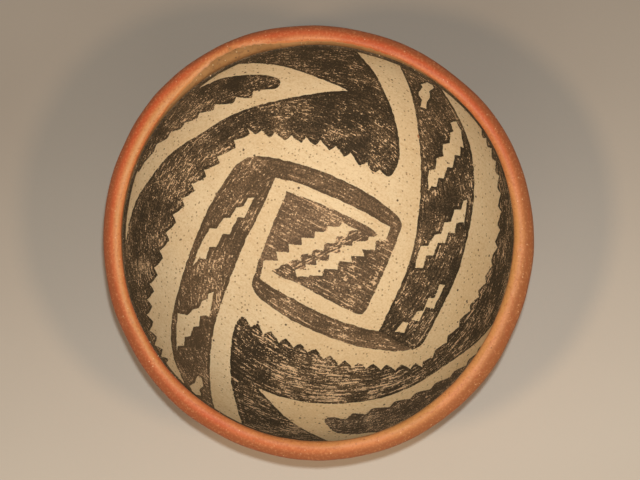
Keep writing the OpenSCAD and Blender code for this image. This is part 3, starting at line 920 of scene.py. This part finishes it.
def red_material():
    """Red slip, burnished: strokes of the polishing stone, pale sand, wear on the lip and the foot, painted
    shade on the outer side of the lip and a painted highlight on its crest
    """
    s = Surface("red_slip", 0.5, 0.22)
    at = s.place()
    skin = s.attribute("skin", "Vector")
    tone = s.attribute("tone", "Fac")
    wear = s.attribute("wear", "Fac")
    colour = s.mix(tone, rgb(196, 98, 55), rgb(196, 136, 76))
    colour = s.tint(colour, s.step(s.noise(at, 18, 3), 0.42, 0.72), 0.6, rgb(214, 138, 84))
    colour = s.tint(colour, s.attribute("flank", "Fac"), 0.75, rgb(190, 78, 42))
    # Painted shade: the outer side of the lip darkened to brown, fainter further down the wall
    colour = s.tint(colour, s.attribute("outside", "Fac"), 0.8, rgb(140, 80, 46))
    rubbed = s.noise(s.stretch(skin, RED_DRAWN), 1.0, 3, 0.6)
    colour = s.tint(colour, s.step(rubbed, 0.5, 0.78), 0.45, rgb(164, 80, 46))
    grain = s.noise(at, 0.9, 3, 0.6)
    colour = s.tint(colour, s.step(grain, 0.5, 0.72), 0.38, rgb(222, 152, 100))
    colour = s.tint(colour, s.step(grain, 0.47, 0.3), 0.45, rgb(158, 76, 42))
    uneven = s.maths("MULTIPLY", s.maths("SUBTRACT", grain, 0.5), 1.6)
    worn = s.step(s.maths("ADD", wear, uneven), 0.45, 0.8)
    colour = s.tint(colour, worn, 0.75, rgb(176, 122, 76))
    colour = s.tint(colour, s.specks(at, 1.7, 0.3, 0.2), 0.5, rgb(236, 190, 144))
    colour = s.tint(colour, s.specks(at, 3.1, 0.34, 0.3), 0.6, rgb(104, 58, 36))
    s.colour(colour)
    s.roughness(rubbed, 0.38, 0.6)
    s.bump(s.maths("ADD", s.maths("MULTIPLY", rubbed, 1.2), grain), 0.06)
    return s.material


def build_bowl():
    """All the pieces of the bowl, in the order in which the potter made them"""
    clay = clay_material()
    for node in ["base_pat"] + [f"wall_coil_{k + 1}" for k in range(COIL_COUNT)] + ["rim_coil"]:
        clay_piece(node, clay)
    red_skin(red_material())
    cream_skin(cream_material())
    for order, (node, (dark, pale, streak, fleck, outline)) in enumerate(PAINT_LOOKS.items()):
        material = paint_material("paint_" + node, rgb(*dark), rgb(*pale), streak, fleck, outline)
        if node == "rim_line":
            rim_line(material)
        else:
            film(node, material, order)


# Floor, light and camera

# The photo's camera: where it is, what it looks at, its sensor and lens in millimetres, and the nearest and
# farthest that it sees in metres
CAMERA_AT = Vector((62.5, -52.4, 974.3)) * MM
CAMERA_AIM = Vector((0.6, 1.0, 78.0)) * MM
CAMERA_UP = Vector((0, 1, 0))
SENSOR = 36.0
LENS = 129.1
CLIP_FROM, CLIP_TO = 0.01, 20
# Side of the floor in metres
FLOOR_SIZE = 4.0
# Painted light falloff on the floor, darker towards the top and the left: its shaded and its lit tone, the
# slant along which one turns into the other, and the range over which it does
FLOOR_PAINTED_SHADE, FLOOR_PAINTED_LIT = (154, 143, 130), (198, 187, 172)
FLOOR_LIGHT_SLANT = (0.15, -1.0)
FLOOR_LIGHT_RANGE = (-110, 130)
# Colour of the even backdrop that the floor turns into, and where it does, in millimetres from the middle
BACKDROP = (196, 184, 170)
BACKDROP_FROM = (180.0, 480.0)
# Lamps: azimuth and elevation in degrees, distance and width in metres, share of the light on a level
# surface, and colour
LAMPS = {
    "lamp_over_lens": (-10, 85.6, 0.96, 0.02, 0.62, (0.82, 0.93, 1.0)),
    "lamp_right": (-21, 60, 1.3, 0.16, 0.2, (1.0, 0.7, 0.44)),
    "lamp_left": (-154, 67, 1.3, 0.16, 0.23, (1.0, 0.72, 0.45)),
    "lamp_in_front": (-90, 42, 0.8, 0.5, 0.09, (1.0, 0.9, 0.8)),
}
# Light from all round, and the surroundings as they are seen
WORLD_LIGHT = 0.06
WORLD_COLOUR = (0.95, 0.98, 1.0, 1)
SURROUNDINGS = (214, 209, 202)


def background_rays(tree):
    """1 for rays that show the background: straight from the camera, mirrored, or through glass"""
    path = tree.nodes.new("ShaderNodeLightPath")
    rays = path.outputs["Is Camera Ray"]
    for kind in ("Is Glossy Ray", "Is Transmission Ray"):
        either = tree.nodes.new("ShaderNodeMath")
        either.operation = "MAXIMUM"
        tree.links.new(rays, either.inputs[0])
        tree.links.new(path.outputs[kind], either.inputs[1])
        rays = either.outputs[0]
    return rays


def build_stage():
    """The floor, with a painted light falloff that makes it darker towards the top, turning into a backdrop
    further out
    """
    bpy.ops.mesh.primitive_plane_add(size=FLOOR_SIZE)
    floor = bpy.context.object
    floor.name = "floor"
    s = Surface("pale_floor_painted_falloff", 0.9, 0.1)
    at = s.place()
    # Painted light falloff: the floor's colour is darker towards the top and the left
    by_x, by_y = FLOOR_LIGHT_SLANT
    light_slant = s.total((s.axis(at, "Y"), by_y), (s.axis(at, "X"), by_x))
    tone = s.total((s.step(light_slant, *FLOOR_LIGHT_RANGE), 1.0), (s.noise(at, 60, 2), 0.1))
    s.colour(s.mix(tone, rgb(*FLOOR_PAINTED_SHADE), rgb(*FLOOR_PAINTED_LIT)))
    away = s.node("VectorMath", {0: at}, operation="LENGTH").outputs["Value"]
    seen = background_rays(s.tree)
    s.feed(s.shader.inputs["Emission Color"], rgb(*BACKDROP))
    s.feed(s.shader.inputs["Emission Strength"], s.maths("MULTIPLY", s.step(away, *BACKDROP_FROM), seen))
    s.bump(s.noise(at, 1.0, 2), 0.05)
    floor.data.materials.append(s.material)


def add_lamp(name, azimuth, elevation, distance, width, share, colour):
    """A round lamp that looks at the middle of the bowl"""
    turn, rise = math.radians(azimuth), math.radians(elevation)
    way = Vector((math.cos(turn) * math.cos(rise), math.sin(turn) * math.cos(rise), math.sin(rise)))
    lamp = bpy.data.lights.new(name, "AREA")
    lamp.shape, lamp.size = "DISK", width
    lamp.energy = share * math.pi ** 2 * distance ** 2 / math.sin(rise)
    lamp.color = colour
    holder = bpy.data.objects.new(name, lamp)
    holder.location = way * distance + Vector((0, 0, HEIGHT / 2 * MM))
    holder.rotation_euler = way.to_track_quat("Z", "Y").to_euler()
    bpy.context.scene.collection.objects.link(holder)


def build_light():
    """The lamps and the world"""
    for name, settings in LAMPS.items():
        add_lamp(name, *settings)
    world = bpy.data.worlds.new("studio")
    world.use_nodes = True
    tree = world.node_tree
    lit = tree.nodes["Background"]
    lit.inputs["Color"].default_value = WORLD_COLOUR
    lit.inputs["Strength"].default_value = WORLD_LIGHT
    seen = tree.nodes.new("ShaderNodeBackground")
    seen.inputs["Color"].default_value = rgb(*SURROUNDINGS)
    both = tree.nodes.new("ShaderNodeMixShader")
    tree.links.new(background_rays(tree), both.inputs[0])
    tree.links.new(lit.outputs[0], both.inputs[1])
    tree.links.new(seen.outputs[0], both.inputs[2])
    tree.links.new(both.outputs[0], tree.nodes["World Output"].inputs["Surface"])
    bpy.context.scene.world = world


def build_camera():
    """The camera where the photo was taken from"""
    data = bpy.data.cameras.new("camera")
    data.sensor_width, data.lens = SENSOR, LENS
    data.clip_start, data.clip_end = CLIP_FROM, CLIP_TO
    ahead = (CAMERA_AIM - CAMERA_AT).normalized()
    right = ahead.cross(CAMERA_UP).normalized()
    turned = Matrix((right, right.cross(ahead), -ahead)).transposed().to_4x4()
    camera = bpy.data.objects.new("camera", data)
    camera.matrix_world = Matrix.Translation(CAMERA_AT) @ turned
    bpy.context.scene.collection.objects.link(camera)
    bpy.context.scene.camera = camera


build_bowl()
build_stage()
build_light()
build_camera()
bpy.context.scene.view_settings.view_transform = "Standard"
